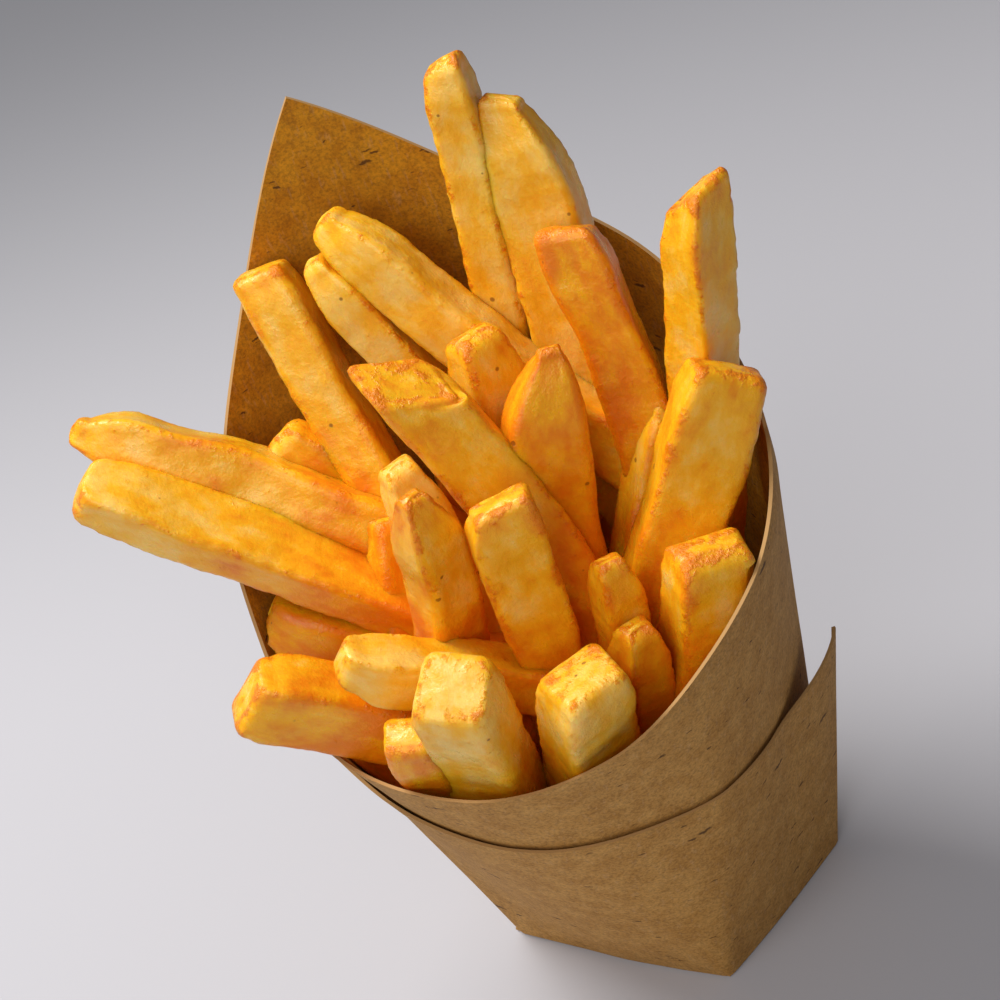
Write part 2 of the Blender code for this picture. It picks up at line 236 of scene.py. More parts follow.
FLECK_SCALES = ((260.0, 1.0), (560.0, 2.2))
FLECK_TURN = (0.25, 0.2, 0.0)
FLECK_STRETCH = (0.6, 0.6, 2.2)
FLECK_WANDER = 0.0014


def slope_between(first, second, slope):
    """Slope at a shared point: the harmonic mean of both sides, or 0 where they turn."""
    if first == second:
        return slope
    other = (second[1] - first[1]) / (second[0] - first[0])
    if other * slope <= 0:
        return 0.0
    return 2 * other * slope / (other + slope)


def curve_value(points, at):
    """Height of a smooth curve through points of (turn, height), without overshoot."""
    for index in range(len(points) - 1):
        if at <= points[index + 1][0]:
            break
    (start, low), (end, high) = points[index], points[index + 1]
    before = points[max(index - 1, 0)]
    after = points[min(index + 2, len(points) - 1)]
    slope = (high - low) / (end - start)
    enter = slope_between(before, points[index], slope)
    leave = slope_between(points[index + 1], after, slope)
    t = (at - start) / (end - start)
    span = end - start
    return ((2 * t ** 3 - 3 * t ** 2 + 1) * low + (t ** 3 - 2 * t ** 2 + t) * span * enter
            + (3 * t ** 2 - 2 * t ** 3) * high + (t ** 3 - t ** 2) * span * leave)


def smooth_step(value):
    value = min(max(value, 0.0), 1.0)
    return value * value * (3 - 2 * value)


def corner_angles():
    """Turning angles of the base corners, in degrees from 0 to 360."""
    return [math.degrees(math.atan2(y, x)) % 360 for x, y in BASE_CORNERS]


def base_radius(angle, height):
    """Distance from the origin to the four-cornered outline, in one direction. It is the
    base's outline, with corners that grow rounder with the height above the table."""
    direction = Vector((math.cos(angle), math.sin(angle)))
    reaches = []
    for index, corner in enumerate(BASE_CORNERS):
        start = Vector(corner)
        side = Vector(BASE_CORNERS[(index + 1) % len(BASE_CORNERS)]) - start
        cross = direction.x * side.y - direction.y * side.x
        distance = (start.x * side.y - start.y * side.x) / cross
        reaches.append(distance if distance > 0 else math.inf)
    nearest = min(reaches)
    index = reaches.index(nearest)
    after = (index + 1) % len(BASE_CORNERS)
    radius = nearest
    for corner, other in ((index, reaches[index - 1]), (after, reaches[after])):
        soft = CORNER_ROUND[corner] + CORNER_OPENING[corner] * height
        overlap = max(soft - (other - nearest), 0) / soft
        radius -= overlap ** 2 * soft / 4
    return radius


def cone_point(turn, height, outward):
    """A point of the cone, moved outward by some millimetres."""
    angle = math.radians(turn)
    x, y = math.cos(angle), math.sin(angle)
    mouth_x = (MOUTH_RADIUS + outward) * x + MOUTH_CENTRE[0]
    mouth_y = (MOUTH_RADIUS + outward) * y + MOUTH_CENTRE[1]
    above = height - MOUTH_HEIGHT
    if above >= 0:
        mouth_x += (SPREAD[0] * x + LEAN[0]) * above
        mouth_y += (SPREAD[1] * y + LEAN[1]) * above
        return Vector((mouth_x, mouth_y, height))
    radius = base_radius(angle, height) + outward
    share = height / MOUTH_HEIGHT
    return Vector((radius * x * (1 - share) + mouth_x * share,
                   radius * y * (1 - share) + mouth_y * share, height))


def cone_middle(height):
    """The middle of the cone's round section at one height."""
    share = min(height / MOUTH_HEIGHT, 1)
    above = max(height - MOUTH_HEIGHT, 0)
    return Vector((MOUTH_CENTRE[0] * share + LEAN[0] * above,
                   MOUTH_CENTRE[1] * share + LEAN[1] * above, height))


def edge_height(turn):
    """Height of the card's cut top edge."""
    if turn <= ROLL_PEAK:
        return curve_value(INNER_EDGE, turn)
    return curve_value(OUTER_EDGE, turn)


def card_offset(turn, height):
    """How far out the card's inner face lies: its place in the roll, a wave and the ear."""
    layer = FIRST_LAYER + LAYER_PITCH * (turn - ROLL_START) / 360
    place = Vector((turn / CARD_WAVE_TURN, height / CARD_WAVE_HEIGHT, 3.0))
    wave = CARD_WAVE * noise.noise(place)
    along = smooth_step((turn - EAR_START) / (ROLL_END - EAR_START))
    return layer + wave + EAR_STANDOFF * along * height / OUTER_EDGE[-1][1]


def roll_turns():
    """The turning angles of the card's columns: even steps, the peak and the base corners."""
    turns = set(range(ROLL_START, ROLL_END, TURN_STEP)) | {ROLL_PEAK, ROLL_END}
    for angle in corner_angles():
        turns |= {angle + 360 * lap for lap in range(3)}
    turns = sorted(turn for turn in turns if ROLL_START <= turn <= ROLL_END)
    return [turn for index, turn in enumerate(turns)
            if index == 0 or turn - turns[index - 1] > 0.4 or turn == ROLL_PEAK]


def new_piece(name, bm, *materials):
    """Turn a finished bmesh into a named object with these materials."""
    mesh = bpy.data.meshes.new(name)
    bm.to_mesh(mesh)
    bm.free()
    for material in materials:
        mesh.materials.append(material)
    item = bpy.data.objects.new(name, mesh)
    bpy.context.scene.collection.objects.link(item)
    return item


def sheet_mesh(bm):
    """The rolled sheet. Material 0 is its outer face, 1 its inner face and 2 its cut edges."""
    sides = []
    for thickness in (0, CARD):
        columns = []
        for turn in roll_turns():
            top = edge_height(turn)
            column = []
            for row in range(CARD_ROWS + 1):
                height = CARD_FOOT + (top - CARD_FOOT) * row / CARD_ROWS
                outward = card_offset(turn, height) + thickness
                column.append(bm.verts.new(cone_point(turn, height, outward) * MM))
            columns.append(column)
        sides.append(columns)
    inner, outer = sides
    last = len(inner) - 1
    for index in range(last):
        for row in range(CARD_ROWS):
            for side, material in ((inner, 1), (outer, 0)):
                face = bm.faces.new((side[index][row], side[index + 1][row],
                                     side[index + 1][row + 1], side[index][row + 1]))
                face.material_index = material
                face.smooth = True
        for row in (0, CARD_ROWS):
            face = bm.faces.new((inner[index][row], inner[index + 1][row],
                                 outer[index + 1][row], outer[index][row]))
            face.material_index = 2
    for index in (0, last):
        for row in range(CARD_ROWS):
            face = bm.faces.new((inner[index][row], outer[index][row],
                                 outer[index][row + 1], inner[index][row + 1]))
            face.material_index = 2


def floor_fold_mesh(bm):
    """The folded floor of the cone, made as one flat plate with a bevelled foot; on the real
    card two flaps meet on its middle.
    """
    outward = card_offset(ROLL_END, 0) + CARD
    rings = []
    bevel_height, bevel_inset = FLOOR_BEVEL
    for height, inset in ((0.0, bevel_inset), (bevel_height, 0.0), (FLOOR_THICKNESS, 0.0)):
        ring = []
        for angle in sorted(corner_angles()):
            point = cone_point(angle, 0, outward - inset)
            ring.append(bm.verts.new(Vector((point.x, point.y, height)) * MM))
        rings.append(ring)
    bm.faces.new(rings[0])
    bm.faces.new(rings[-1])
    for low, high in zip(rings, rings[1:]):
        for index in range(len(low)):
            after = (index + 1) % len(low)
            bm.faces.new((low[index], low[after], high[after], high[index]))


def mark_edges(bm, angle):
    """Flat faces meet sharply where they turn by more than the angle, in degrees."""
    bmesh.ops.recalc_face_normals(bm, faces=bm.faces)
    for edge in bm.edges:
        edge.smooth = edge.calc_face_angle(0) < math.radians(angle)


def specks_group():
    """Small scattered spots: a mask that is 1 on the spots, which cover the given share."""
    group = bpy.data.node_groups.new("scattered_specks", "ShaderNodeTree")
    group.interface.new_socket("Vector", in_out="INPUT", socket_type="NodeSocketVector")
    group.interface.new_socket("Scale", in_out="INPUT", socket_type="NodeSocketFloat")
    group.interface.new_socket("Share", in_out="INPUT", socket_type="NodeSocketFloat")
    group.interface.new_socket("Mask", in_out="OUTPUT", socket_type="NodeSocketFloat")
    inlet = group.nodes.new("NodeGroupInput")
    outlet = group.nodes.new("NodeGroupOutput")
    spots = add_node(group, "ShaderNodeTexVoronoi", feature="F1", Randomness=1.0)
    group.links.new(inlet.outputs["Vector"], spots.inputs["Vector"])
    group.links.new(inlet.outputs["Scale"], spots.inputs["Scale"])
    chosen = add_node(group, "ShaderNodeSeparateColor")
    group.links.new(spots.outputs["Color"], chosen.inputs[0])
    some = sums(group, "LESS_THAN", chosen.outputs[0], inlet.outputs["Share"])
    size = sums(group, "MULTIPLY", chosen.outputs[1], 0.34)
    near = sums(group, "SUBTRACT", size, spots.outputs["Distance"])
    spot = ramp(group, near, 0.0, 0.12)
    group.links.new(sums(group, "MULTIPLY", spot, some), outlet.inputs["Mask"])
    return group


def place_group(tree, group, vector, **values):
    """Put a shader node group into a material, with its own values."""
    made = tree.nodes.new("ShaderNodeGroup")
    made.node_tree = group
    tree.links.new(vector, made.inputs["Vector"])
    for name, value in values.items():
        made.inputs[name].default_value = value
    return made


def paper_group():
    """The face of kraft card: cloudy colour, long pale fibres and a fine tooth."""
    group = bpy.data.node_groups.new("paper_face", "ShaderNodeTree")
    group.interface.new_socket("Vector", in_out="INPUT", socket_type="NodeSocketVector")
    group.interface.new_socket("Cloud", in_out="OUTPUT", socket_type="NodeSocketFloat")
    group.interface.new_socket("Fibre", in_out="OUTPUT", socket_type="NodeSocketFloat")
    group.interface.new_socket("Tooth", in_out="OUTPUT", socket_type="NodeSocketFloat")
    inlet = group.nodes.new("NodeGroupInput")
    outlet = group.nodes.new("NodeGroupOutput")
    cloud = add_node(group, "ShaderNodeTexNoise", Scale=260.0, Detail=6.0, Roughness=0.7)
    group.links.new(inlet.outputs["Vector"], cloud.inputs["Vector"])
    group.links.new(ramp(group, cloud.outputs[0], 0.3, 0.7), outlet.inputs["Cloud"])
    stretch = add_node(group, "ShaderNodeMapping")
    stretch.inputs["Rotation"].default_value = (0.3, 0.2, 0.5)
    stretch.inputs["Scale"].default_value = (1.0, 1.0, 0.22)
    group.links.new(inlet.outputs["Vector"], stretch.inputs["Vector"])
    fibre = add_node(group, "ShaderNodeTexNoise", Scale=1500.0, Detail=2.0, Roughness=0.5)
    group.links.new(stretch.outputs[0], fibre.inputs["Vector"])
    group.links.new(ramp(group, fibre.outputs[0], 0.55, 0.75), outlet.inputs["Fibre"])
    tooth = add_node(group, "ShaderNodeTexNoise", Scale=1900.0, Detail=3.0, Roughness=0.7)
    group.links.new(inlet.outputs["Vector"], tooth.inputs["Vector"])
    group.links.new(tooth.outputs[0], outlet.inputs["Tooth"])
    return group


def card_material(name, colours, fleck_share):
    """Uncoated kraft card: two cloudy browns, pale fibres, dark flecks, a dry matt face."""
    material, tree, shader = new_material(name)
    place = add_node(tree, "ShaderNodeTexCoord").outputs["Object"]
    paper = place_group(tree, paper_face, place)
    colour = blend_colours(tree, paper.outputs["Cloud"], *colours)
    pale = sums(tree, "MULTIPLY", paper.outputs["Fibre"], FIBRE_SHARE)
    colour = blend_colours(tree, pale, colour, FIBRE_PALE)
    tooth = ramp(tree, paper.outputs["Tooth"], 0.35, 0.75)
    shade = sums(tree, "MULTIPLY", tooth, TOOTH_SHADE)
    colour = blend_colours(tree, shade, colour, FLECK_DARK)
    flat = add_node(tree, "ShaderNodeMapping")
    flat.inputs["Rotation"].default_value = FLECK_TURN
    flat.inputs["Scale"].default_value = FLECK_STRETCH
    wander = add_node(tree, "ShaderNodeTexNoise", Scale=700.0, Detail=2.0, Roughness=0.6)
    tree.links.new(place, wander.inputs["Vector"])
    moved = add_node(tree, "ShaderNodeVectorMath", operation="MULTIPLY_ADD")
    tree.links.new(wander.outputs["Color"], moved.inputs[0])
    moved.inputs[1].default_value = (FLECK_WANDER, FLECK_WANDER, FLECK_WANDER)
    tree.links.new(place, moved.inputs[2])
    tree.links.new(moved.outputs[0], flat.inputs["Vector"])
    for scale, more in FLECK_SCALES:
        share = fleck_share * more
        flecks = place_group(tree, specks, flat.outputs[0], Scale=scale, Share=share)
        dark = sums(tree, "MULTIPLY", flecks.outputs["Mask"], FLECK_SHADE)
        colour = blend_colours(tree, dark, colour, FLECK_DARK)
    tree.links.new(colour, shader.inputs["Base Color"])
    bump = add_node(tree, "ShaderNodeBump", Strength=0.35, Distance=0.00012)
    tree.links.new(paper.outputs["Tooth"], bump.inputs["Height"])
    tree.links.new(bump.outputs[0], shader.inputs["Normal"])
    shader.inputs["Roughness"].default_value = 0.82
    shader.inputs["Specular IOR Level"].default_value = 0.3
    return material


def cut_edge_material():
    """The card's cut edge: one plain brown, soft and very matt."""
    material, tree, shader = new_material("card_cut_edge")
    shader.inputs["Base Color"].default_value = CARD_CUT
    shader.inputs["Roughness"].default_value = 0.9
    return material


def add_cone():
    bm = bmesh.new()
    sheet_mesh(bm)
    mark_edges(bm, FOLD_ANGLE)
    outside = card_material("card_outside", CARD_OUTSIDE, FLECK_SHARE_OUTSIDE)
    inside = card_material("card_inside", CARD_INSIDE, FLECK_SHARE_INSIDE)
    cone = new_piece("card_cone", bm, outside, inside, cut_edge_material())
    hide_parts("wrapper")
    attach(cone, "root")
    bm = bmesh.new()
    floor_fold_mesh(bm)
    mark_edges(bm, FOLD_ANGLE)
    fold = new_piece("card_floor", bm, outside)
    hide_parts("wrapper")
    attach(fold, "root")


specks = specks_group()
paper_face = paper_group()
add_cone()


# Every fry is a stick cut from a whole potato and fried in oil: flat faces that sink a
# little, long edges that brown first, and a tip that is cut square, slanted or pointed.
# The bed is the hidden middle of the heap, under all the fries that show.
CORE_GAP = 0.8
CORE_BOTTOM = 1.6
CORE_FRONT = 44
CORE_SLOPE = 0.32
CORE_STEP = 6
CORE_ROWS = 14
BED_COOK = (0.3, 0.9, 0.3, 1.0)

# Where a fry would meet the card it is pressed in, and stays just clear of it.
PRESS_GAP = 0.12
PRESS_FREE = (13, MOUTH_RADIUS - 2)
PRESS_ABOVE = 0.6
PRESS_ROUNDS = 4

# The cut stick: its round edges, and how its section leans, wanders, turns and swells.
EDGE_RADIUS = 0.2
FLAT_POINTS = 8
CORNER_POINTS = 4
RING_SPACING = 0.7
SECTION_SKEW = 0.16
WANDER = 0.7
WANDER_LENGTH = 18
TURN_WANDER = 9
TURN_LENGTH = 24
SWELL = 0.12
SWELL_LENGTH = 14

# Its skin and its rounded end. Each bump is a wave of length and height.
SKIN_DEPTH = 0.15
FACE_HOLLOW = 0.22
FACE_BUMPS = ((8, 0.34), (2.6, 0.16))
EDGE_CRUMBS = ((1.6, 0.14), (0.8, 0.16))
SKIN_GRAIN = ((1.1, 0.05),)
EDGE_REACH = 1.1
TIP_REACH = 1.8
END_RINGS = 6
WIDTH_CLOSING = 0.9
DEPTH_CLOSING = 1.7
END_SIZES = (0.93, 0.84, 0.72, 0.56, 0.38, 0.18, 0.0)
END_DOME = 0.35
END_BUMPS = ((3.2, 0.4),)

# How it is cooked: brown at the edges, the tip and in patches. Low in the heap the colour is
# painted warmer and deeper, as painted shade.
COOK_PATCHES = ((6.5, 1.0), (2.2, 0.6))
EDGE_BROWN = 0.56
EDGE_BROWN_UNEVEN = ((2.4, 0.6),)
TIP_BROWN = 0.5
TIP_BROWN_UNEVEN = ((1.4, 0.5),)
PATCH_BROWN = 0.22
FACE_PALER = 0.08
EDGE_WARM = 0.45
TIP_WARM = 0.25
TIP_WARM_REACH = 4
PATCH_WARM = 0.35
BELOW_PAINTED_SHADE = 1.3
HEAP_TOP = 42
HEAP_SHADE = 28
END_PATCHES = ((4.5, 0.4), (1.8, 0.24))
END_BROWN = 0.15
END_WARM = 0.35
END_TONE = 0.8

# The potato's colours, and how much each thing changes them.
FRY_CREAM = (0.88, 0.57, 0.12, 1)
FRY_GOLD = (0.87, 0.44, 0.008, 1)
FRY_AMBER = (0.76, 0.215, 0.001, 1)
FRY_TOAST = (0.77, 0.245, 0.001, 1)
FRY_CRISP = (0.60, 0.13, 0.001, 1)
FRY_SPECK = (0.16, 0.035, 0.004, 1)
CLOUD_STRETCH = (1.0, 1.0, 0.55)
CLOUD_DEPTH = 2.2
WARM_DEPTH = 0.75
BROWN_RAGGED = 1.6
CRISP_SHARE = 0.8
SPECK_SHADE = 0.7
OIL_ROUGHNESS = (0.24, 0.2)
FLESH_GLOW = 0.45
FLESH_GLOW_COLOURS = (1.0, 0.4, 0.1)
FLESH_GLOW_DEPTH = 0.0025


def pressed_in(point):
    """Move a point that would lie in the card to the card's inner face. PRESS_FREE is how
    far from the middle no point can touch it, at the foot and at the mouth."""
    middle = cone_middle(point.z)
    reach = point - middle
    share = min(max(point.z / MOUTH_HEIGHT, 0), 1)
    foot_free, mouth_free = PRESS_FREE
    if reach.length < mouth_free * share + foot_free * (1 - share):
        return point
    aim = math.degrees(math.atan2(reach.y, reach.x))
    turn = aim
    for _ in range(PRESS_ROUNDS):
        wall = cone_point(turn, point.z, -PRESS_GAP) - middle
        turn += aim - math.degrees(math.atan2(wall.y, wall.x))
        turn = aim + (turn - aim + 180) % 360 - 180
    lap = turn % 360
    if point.z > edge_height(lap if lap >= ROLL_START else lap + 360) + PRESS_ABOVE:
        return point
    if reach.length <= wall.length:
        return point
    return middle + wall


def core_height(point):
    """Top of the bed: a slope that rises from the low front to the tall back."""
    return CORE_FRONT + CORE_SLOPE * (point.y - MOUTH_CENTRE[1] + MOUTH_RADIUS)


def fry_outline(width, depth, radius):
    """A fry's section: a rectangle with round corners. Gives x, y, the way out, and how
    near each point is to the middle of a corner."""
    x, y = width / 2 - radius, depth / 2 - radius
    turn_half = math.pi / 4 * radius
    sides = (((x, y), (-1, 0), 2 * x), ((-x, y), (0, -1), 2 * y),
             ((-x, -y), (1, 0), 2 * x), ((x, -y), (0, 1), 2 * y))
    outline = []
    for quarter, ((middle_x, middle_y), (step_x, step_y), span) in enumerate(sides):
        for step in range(CORNER_POINTS):
            share = step / (CORNER_POINTS - 1)
            angle = math.pi / 2 * (quarter + share)
            out = Vector((math.cos(angle), math.sin(angle)))
            near = turn_half * abs(2 * share - 1)
            outline.append((middle_x + radius * out.x, middle_y + radius * out.y, out,
                            math.exp(-near / EDGE_REACH)))
        start_x, start_y = outline[-1][:2]
        for step in range(1, FLAT_POINTS + 1):
            share = step / (FLAT_POINTS + 1)
            near = turn_half + min(share, 1 - share) * span
            outline.append((start_x + step_x * span * share, start_y + step_y * span * share,
                            out, math.exp(-near / EDGE_REACH)))
    return outline


def fry_stations(length, soft, point, reach):
    """Along a fry: how far up each ring lies, its share of the taper, its size, and how far
    the rounded end has closed, from 0 to 1."""
    body = length - soft
    count = max(int(body / RING_SPACING), 8)
    stations = []
    for ring in range(count + 1):
        along = body * ring / count
        share = max((along - body + reach) / reach, 0)
        stations.append((along, share, 1 - (1 - point) * share ** 2, 0.0))
    for step in range(1, END_RINGS + 1):
        angle = math.pi / 2 * step / END_RINGS
        stations.append((body + soft * math.sin(angle), 1.0, point, 1 - math.cos(angle)))
    return stations


def bumps(spot, waves):
    """Smooth random height at a spot: waves of (length, height) added up."""
    return sum(height * noise.noise(spot / length) for length, height in waves)


def cook_and_shade_colour(spot, near_edge, to_tip, below, tone, crust):
    """How one point of a fry is coloured: red is brown, green is tone, and blue is the warmth of
    cooking together with painted shade low in the heap.
    """
    patch = bumps(spot, COOK_PATCHES)
    near_end = math.exp(-to_tip / TIP_REACH)
    brown = near_edge ** 1.5 * (EDGE_BROWN + bumps(spot, EDGE_BROWN_UNEVEN))
    brown += near_end ** 2 * (TIP_BROWN + bumps(spot, TIP_BROWN_UNEVEN))
    brown += PATCH_BROWN * patch - FACE_PALER
    warmth_and_shade = EDGE_WARM * near_edge + TIP_WARM * math.exp(-to_tip / TIP_WARM_REACH)
    # Low in the heap the colour is pushed towards amber as painted shade.
    warmth_and_shade += PATCH_WARM * patch + BELOW_PAINTED_SHADE * below
    return max(crust * brown, 0.0), tone, max(crust * warmth_and_shade, 0.0), 1.0


def fry_shape(bm, layers, tip, foot, section, end, cut, look):
    """One fry. The section is width, depth, twist and bow. The end narrows over its reach to
    a share, point, of the section, leans to a side, and is rounded. The cut is how much
    lower the tip's right and front sides lie. look is tone, crust and seed: a tone of 0 is
    pale cream and 1 is deep amber, and crust says how strongly edges and tip are browned.
    The layers hold the colour of cooking and painted shade, and each point's place along and
    across the stick."""
    cook_and_shade, stick = layers
    width, depth, twist, bow = section
    point, lean, reach, rounding = end
    right_cut, front_cut = cut
    tone, crust, seed = look
    tip, foot = Vector(tip), Vector(foot)
    axis = (tip - foot).normalized()
    front = Vector((0, -1, 0))
    front = (front - axis * front.dot(axis)).normalized()
    side = axis.cross(front)
    length = (tip - foot).length
    soft = rounding * depth * point
    drift = Vector((seed * 17.3, seed * 5.1, seed * 9.7))
    skew = SECTION_SKEW * noise.noise(drift)
    wedge = SECTION_SKEW * noise.noise(drift * 1.7)
    radius = EDGE_RADIUS * min(width, depth) * (1 + 0.5 * noise.noise(drift * 2.3))
    outline = fry_outline(width, depth, radius)
    rings = []
    for along, share, size, closed in fry_stations(length, soft, point, reach):
        middle = foot + axis * along + side * bow * math.sin(math.pi * along / length)
        step = along / WANDER_LENGTH
        middle += side * WANDER * noise.noise(drift + Vector((step, 0, 0)))
        middle += front * WANDER * noise.noise(drift + Vector((0, step, 0)))
        more = TURN_WANDER * noise.noise(drift + Vector((along / TURN_LENGTH, 4, 0)))
        turn = math.radians(twist + more)
        wide = side * math.cos(turn) - front * math.sin(turn)
        deep = front * math.cos(turn) + side * math.sin(turn)
        middle += wide * width * lean * (1 - size) / 2
        swell = 1 + SWELL * noise.noise(drift + Vector((0, 0, along / SWELL_LENGTH)))
        to_tip = length - along
        near_end = math.exp(-to_tip / TIP_REACH)
        # How deep the ring lies under the heap's top: it sets the painted shade there.
        below = smooth_step((core_height(middle) + HEAP_TOP - middle.z) / HEAP_SHADE)
        ring = []
        for x, y, out, near_edge in outline:
            way = wide * out.x + deep * out.y
            lower = (right_cut * x / width + front_cut * y / depth) * share
            across = (x + skew * y) * (1 + wedge * y / depth) * swell * size
            across *= 1 - WIDTH_CLOSING * rounding * closed
            through = y / swell * size * (1 - DEPTH_CLOSING * rounding * closed)
            flat = middle + wide * across + deep * through - axis * lower
            spot = flat + drift
            push = -SKIN_DEPTH - FACE_HOLLOW * (1 - near_edge) * (1 - near_end)
            push += bumps(spot, FACE_BUMPS) + near_edge * bumps(spot, EDGE_CRUMBS)
            push += bumps(spot, SKIN_GRAIN)
            vert = bm.verts.new(pressed_in(flat + way * push) * MM)
            vert[cook_and_shade] = cook_and_shade_colour(spot, near_edge, to_tip, below, tone, crust)
            vert[stick] = (Vector((x, y, along)) + drift) * MM
            ring.append(vert)
        rings.append(ring)
    close_end(bm, layers, rings[-1], axis, crust, tone, drift)
    for low, high in zip(rings, rings[1:]):
        for index in range(len(low)):
            after = (index + 1) % len(low)
            bm.faces.new((low[index], low[after], high[after], high[index])).smooth = True
    bm.faces.new(rings[0])


def close_end(bm, layers, edge, axis, crust, tone, drift):
    """The fry's cut end: smaller and smaller rings, a little uneven, round one point."""
    cook_and_shade, stick = layers
    middle = sum((vert.co for vert in edge), Vector()) / len(edge)
    heart = sum((vert[stick] for vert in edge), Vector()) / len(edge)
    before = edge
    for size in END_SIZES:
        ring = []
        for vert in edge if size else edge[:1]:
            place = middle + (vert.co - middle) * size
            spot = place / MM + drift
            rise = END_DOME * (1 - size ** 2) + (1 - size) * bumps(spot, END_BUMPS)
            made = bm.verts.new(place + axis * rise * MM)
            patch = bumps(spot, END_PATCHES)
            face = Vector((max(crust * (END_BROWN + patch), 0.0), tone * END_TONE,
                           max(crust * (END_WARM + patch), 0.0), 1.0))
            made[cook_and_shade] = face.lerp(vert[cook_and_shade], size ** 6)
            made[stick] = heart + (vert[stick] - heart) * size
            ring.append(made)
        for index in range(len(before)):
            after = (index + 1) % len(before)
            if size:
                corners = (before[index], before[after], ring[after], ring[index])
            else:
                corners = (before[index], before[after], ring[0])
            bm.faces.new(corners).smooth = True
        before = ring


def potato_material():
    """Fried potato: cream to amber by tone, by the blue of cook_and_shade (cooking warmth with
    painted heap shade) and in clouds drawn out along the stick, browned where its red says so,
    with fine blisters, dark specks and a film of oil."""
    material, tree, shader = new_material("fried_potato")
    place = add_node(tree, "ShaderNodeTexCoord").outputs["Object"]
    cook_and_shade = add_node(tree, "ShaderNodeAttribute", attribute_name="cook_and_shade")
    parts = add_node(tree, "ShaderNodeSeparateColor")
    tree.links.new(cook_and_shade.outputs["Color"], parts.inputs[0])
    brown, tone, warmth_and_shade = parts.outputs[0], parts.outputs[1], parts.outputs[2]
    along = add_node(tree, "ShaderNodeAttribute", attribute_name="stick")
    stretch = add_node(tree, "ShaderNodeMapping")
    stretch.inputs["Scale"].default_value = CLOUD_STRETCH
    tree.links.new(along.outputs["Vector"], stretch.inputs["Vector"])
    clouds = add_node(tree, "ShaderNodeTexNoise", Scale=260.0, Detail=5.0, Roughness=0.62)
    tree.links.new(stretch.outputs[0], clouds.inputs["Vector"])
    patches = sums(tree, "SUBTRACT", clouds.outputs[0], 0.5)
    depth = sums(tree, "ADD", sums(tree, "MULTIPLY", patches, CLOUD_DEPTH), tone)
    # The blue deepens the colour: warmth from cooking and painted shade low in the heap.
    depth = sums(tree, "ADD", depth, sums(tree, "MULTIPLY", warmth_and_shade, WARM_DEPTH))
    grain = add_node(tree, "ShaderNodeTexNoise", Scale=900.0, Detail=4.0, Roughness=0.65)
    tree.links.new(place, grain.inputs["Vector"])
    ragged = sums(tree, "SUBTRACT", grain.outputs[0], 0.5)
    ragged = sums(tree, "MULTIPLY", ragged, BROWN_RAGGED)
    crust = sums(tree, "ADD", brown, ragged)
    browned = ramp(tree, crust, 0.2, 0.9)
    depth = sums(tree, "ADD", depth, browned)
    colour = blend_colours(tree, ramp(tree, depth, -0.1, 0.6), FRY_CREAM, FRY_GOLD)
    colour = blend_colours(tree, ramp(tree, depth, 0.4, 1.3), colour, FRY_AMBER)
    colour = blend_colours(tree, browned, colour, FRY_TOAST)
    crisp = sums(tree, "MULTIPLY", ramp(tree, crust, 0.7, 1.2), CRISP_SHARE)
    colour = blend_colours(tree, crisp, colour, FRY_CRISP)
    dots = place_group(tree, specks, place, Scale=620.0, Share=0.04)
    dark = sums(tree, "MULTIPLY", dots.outputs["Mask"], SPECK_SHADE)
    colour = blend_colours(tree, dark, colour, FRY_SPECK)
    tree.links.new(colour, shader.inputs["Base Color"])
    oiled, drier = OIL_ROUGHNESS
    dryness = sums(tree, "MULTIPLY", ramp(tree, clouds.outputs[0], 0.3, 0.7), drier)
    tree.links.new(sums(tree, "ADD", dryness, oiled), shader.inputs["Roughness"])
    blisters = sums(tree, "MULTIPLY", grain.outputs[0], sums(tree, "ADD", browned, 0.6))
    bump = add_node(tree, "ShaderNodeBump", Strength=0.6, Distance=0.0005)
    tree.links.new(blisters, bump.inputs["Height"])
    tree.links.new(bump.outputs[0], shader.inputs["Normal"])
    shader.inputs["Specular IOR Level"].default_value = 0.42
    shader.inputs["Subsurface Weight"].default_value = FLESH_GLOW
    shader.inputs["Subsurface Radius"].default_value = FLESH_GLOW_COLOURS
    shader.inputs["Subsurface Scale"].default_value = FLESH_GLOW_DEPTH
    return material


def add_fries(name, fries):
    """One piece of fries. Each is tip, foot, section, end, cut and look: see fry_shape."""
    bm = bmesh.new()
    bm.verts.layers.float_color.new("cook_and_shade")
    bm.verts.layers.float_vector.new("stick")
    layers = bm.verts.layers.float_color["cook_and_shade"], bm.verts.layers.float_vector["stick"]
    for shape in fries:
        fry_shape(bm, layers, *shape)
    bmesh.ops.recalc_face_normals(bm, faces=bm.faces)
    piece = new_piece(name, bm, fried_potato)
    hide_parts("fries")
    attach(piece, "root")


def add_core():
    bm = bmesh.new()
    cook_and_shade = bm.verts.layers.float_color.new("cook_and_shade")
    columns = []
    for step in range(0, 360, CORE_STEP):
        top = core_height(cone_point(step, CORE_FRONT, -CORE_GAP))
        column = []
        for row in range(CORE_ROWS + 1):
            height = CORE_BOTTOM + (top - CORE_BOTTOM) * row / CORE_ROWS
            column.append(bm.verts.new(cone_point(step, height, -CORE_GAP) * MM))
        columns.append(column)
    for index, column in enumerate(columns):
        after = columns[(index + 1) % len(columns)]
        for row in range(CORE_ROWS):
            bm.faces.new((column[row], after[row], after[row + 1], column[row + 1]))
    bm.faces.new([column[0] for column in columns])
    bm.faces.new([column[CORE_ROWS] for column in columns])
    for vert in bm.verts:
        vert[cook_and_shade] = BED_COOK
    bmesh.ops.recalc_face_normals(bm, faces=bm.faces)
    core = new_piece("fries_bed", bm, fried_potato)
    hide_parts("fries")
    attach(core, "root")


fried_potato = potato_material()
add_core()


